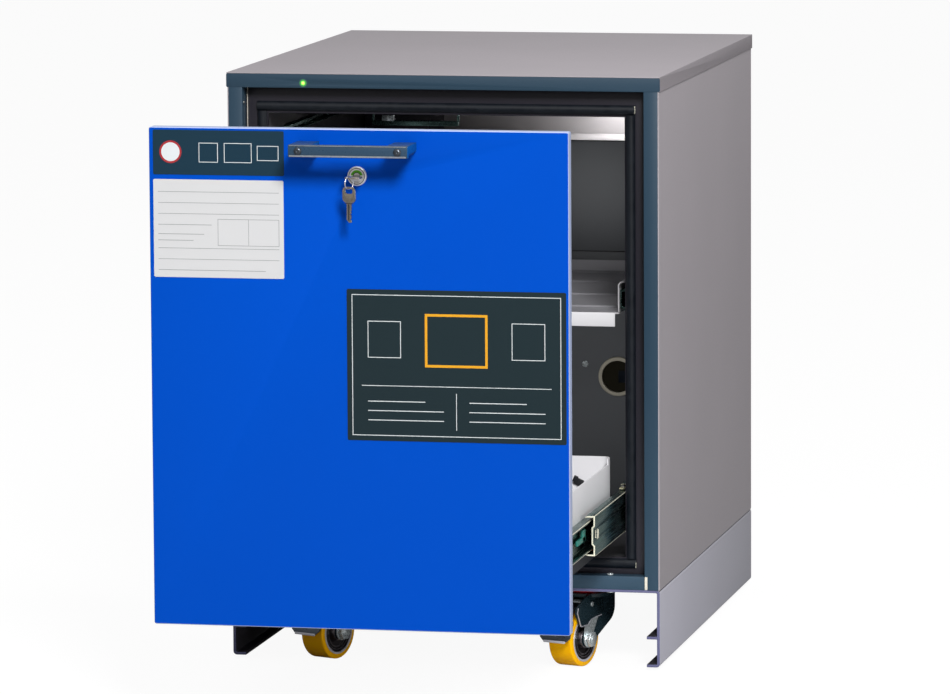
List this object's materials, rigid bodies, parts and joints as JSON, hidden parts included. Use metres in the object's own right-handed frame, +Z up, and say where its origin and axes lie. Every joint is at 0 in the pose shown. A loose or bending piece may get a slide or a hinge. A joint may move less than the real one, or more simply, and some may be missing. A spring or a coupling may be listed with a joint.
{
  "type": "battery storage cabinet",
  "caption": "Fire-resistant under-bench cabinet on castors for storing and charging batteries, with a blue pull-out drawer front, collecting sump, inner tray and key lock.",
  "frame": {"origin": "centre of the object's footprint on the floor, with the drawer pulled out as in the picture", "axes": "+X to the object's right seen from the front, +Y to the back, +Z up"},
  "size_m": [0.593, 1.3126, 0.8],
  "materials": {
    "grey_powder": "fine-textured light grey powder coat",
    "anthracite_powder": "fine-textured anthracite powder coat",
    "blue_powder": "smooth satin blue powder coat",
    "white_powder": "satin white powder coat",
    "dark_powder": "matt dark grey powder coat",
    "black_powder": "matt black powder coat",
    "lining": "satin light grey coated lining sheet",
    "galvanised": "zinc plated steel",
    "steel_balls": "polished hardened steel",
    "bright_zinc": "bright zinc plated steel",
    "chrome": "nickel plated, bright",
    "handle_coat": "satin grey-blue coated aluminium",
    "seal_rubber": "matt black hollow rubber seal",
    "fire_board": "pressed mineral board",
    "black_plastic": "moulded black plastic",
    "grey_plastic": "moulded grey plastic",
    "orange_plastic": "moulded orange ball cage",
    "amber_tread": "cast amber polyurethane",
    "red_plastic": "moulded red ring",
    "fork_coat": "dark passivated steel",
    "hub_alloy": "turned cast alloy",
    "green_light": "clear green light diode"
  },
  "bodies": {
    "cabinet": {"top_cover": "grey_powder", "front_top_rail": "anthracite_powder", "side_panels": "grey_powder", "rear_panel": "grey_powder", "front_posts": "anthracite_powder", "front_bottom_rail": "anthracite_powder", "fire_boards": "fire_board", "liner_sides": "lining", "liner_levels": "lining", "liner_rear": "lining", "recess_frame": "black_powder", "door_seal": "seal_rubber", "status_led": "green_light", "air_spigots": "galvanised", "mains_inlet": "black_plastic", "air_duct": "lining", "rear_covers": "dark_powder", "vent_collar": "grey_plastic", "cover_screws": "bright_zinc", "socket_strip": "black_plastic", "base_chassis": "grey_powder", "castor_plates": "galvanised", "castor_bolts": "bright_zinc", "dust_rings": "red_plastic", "rear_forks": "fork_coat", "rear_axles": "bright_zinc", "runner_outer": "galvanised", "tray_rails": "galvanised", "fan_box": "black_powder"},
    "runners": {"runner_middle": "galvanised", "runner_cages": "orange_plastic", "runner_balls": "steel_balls"},
    "tray": {"inner_tray": "white_powder", "tray_slides": "galvanised"},
    "drawer": {"drawer_front": "blue_powder", "drawer_core": "fire_board", "drawer_inner_panel": "lining", "sump_tray": "white_powder", "runner_inner": "galvanised", "handle_bar": "handle_coat", "handle_screws": "chrome", "lock_rosette": "chrome"},
    "lock": {"lock_cylinder": "chrome", "turn_key": "chrome"},
    "keys": {"key_ring": "chrome", "spare_key": "chrome"},
    "castor_right": {"front_fork_right": "fork_coat", "front_axle_right": "bright_zinc"},
    "wheel_front_right": {"front_hub_right": "hub_alloy", "front_tread_right": "amber_tread"},
    "pedal_right": {"brake_pedal_right": "bright_zinc"},
    "castor_left": {"front_fork_left": "fork_coat", "front_axle_left": "bright_zinc"},
    "wheel_front_left": {"front_hub_left": "hub_alloy", "front_tread_left": "amber_tread"},
    "pedal_left": {"brake_pedal_left": "bright_zinc"},
    "wheel_rear_right": {"rear_hub_right": "hub_alloy", "rear_tread_right": "amber_tread"},
    "wheel_rear_left": {"rear_hub_left": "hub_alloy", "rear_tread_left": "amber_tread"}
  },
  "joints": [
    {"name": "drawer_slide", "type": "slide", "parent": "cabinet", "child": "drawer", "axis": [0, -1, 0], "range_m": [-0.505, 0.05]},
    {"name": "runner_slide", "type": "slide", "parent": "cabinet", "child": "runners", "axis": [0, -1, 0], "range_m": [-0.2525, 0.025]},
    {"name": "tray_slide", "type": "slide", "parent": "cabinet", "child": "tray", "axis": [0, -1, 0], "range_m": [0, 0.33]},
    {"name": "lock_turn", "type": "hinge", "parent": "drawer", "child": "lock", "pos_m": [0, -0.5987, 0.7136], "axis": [0, 1, 0], "range_deg": [0, 90]},
    {"name": "keys_swing", "type": "hinge", "parent": "lock", "child": "keys", "pos_m": [-0.0035, -0.6301, 0.70765], "axis": [0.8829, -0.4695, 0], "range_deg": [-15, 15]},
    {"name": "swivel_right", "type": "hinge", "parent": "cabinet", "child": "castor_right", "pos_m": [0.184, -0.0277, 0.098], "axis": [0, 0, 1], "continuous": true},
    {"name": "roll_front_right", "type": "hinge", "parent": "castor_right", "child": "wheel_front_right", "pos_m": [0.17163, -0.06363, 0.0375], "axis": [0.9455, -0.3256, 0], "continuous": true},
    {"name": "brake_right", "type": "hinge", "parent": "castor_right", "child": "pedal_right", "pos_m": [0.17456, -0.05512, 0.084], "axis": [0.9455, -0.3256, 0], "range_deg": [0, 5]},
    {"name": "swivel_left", "type": "hinge", "parent": "cabinet", "child": "castor_left", "pos_m": [-0.154, -0.0277, 0.098], "axis": [0, 0, 1], "continuous": true},
    {"name": "roll_front_left", "type": "hinge", "parent": "castor_left", "child": "wheel_front_left", "pos_m": [-0.16921, -0.06252, 0.0375], "axis": [0.9164, -0.4003, 0], "continuous": true},
    {"name": "brake_left", "type": "hinge", "parent": "castor_left", "child": "pedal_left", "pos_m": [-0.16561, -0.05427, 0.084], "axis": [0.9164, -0.4003, 0], "range_deg": [0, 5]},
    {"name": "roll_rear_right", "type": "hinge", "parent": "cabinet", "child": "wheel_rear_right", "pos_m": [0.198, 0.5268, 0.0375], "axis": [1, 0, 0], "continuous": true},
    {"name": "roll_rear_left", "type": "hinge", "parent": "cabinet", "child": "wheel_rear_left", "pos_m": [-0.198, 0.5268, 0.0375], "axis": [1, 0, 0], "continuous": true}
  ],
  "couplings": [
    {"joint": "runner_slide", "follows": "drawer_slide", "ratio": 0.5}
  ]
}
